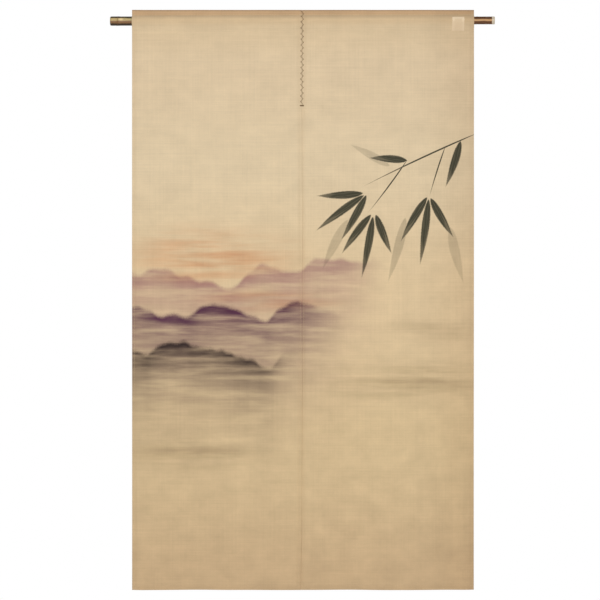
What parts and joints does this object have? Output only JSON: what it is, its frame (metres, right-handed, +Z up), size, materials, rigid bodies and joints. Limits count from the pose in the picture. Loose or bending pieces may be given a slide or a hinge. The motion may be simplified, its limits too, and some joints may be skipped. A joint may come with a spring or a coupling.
{
  "type": "noren curtain on bamboo pole",
  "caption": "Split doorway curtain of pale hemp, laced at the top of its slit and hung by its pocket on a bamboo pole, with a soft ink wash of hills and bamboo leaves.",
  "frame": {"origin": "middle of the pole's axis, where the wall or the door frame holds the pole", "axes": "+Z up, +X along the pole to the right as seen from the front, -Y towards the viewer who faces the printed side"},
  "size_m": [0.994, 0.0284, 1.5],
  "materials": {
    "hemp_cloth": "matt plain weave with slubs, a faded ink wash on its front",
    "smoked_bamboo": "smoked bamboo skin with a soft gloss, mottled at its thick end",
    "lacing_thread": "matt twisted thread",
    "cotton_tape": "matt woven tape, blank"
  },
  "bodies": {
    "root": {"panel_left": "hemp_cloth", "panel_right": "hemp_cloth", "pole": "smoked_bamboo", "lacing": "lacing_thread", "label": "cotton_tape"}
  },
  "joints": []
}
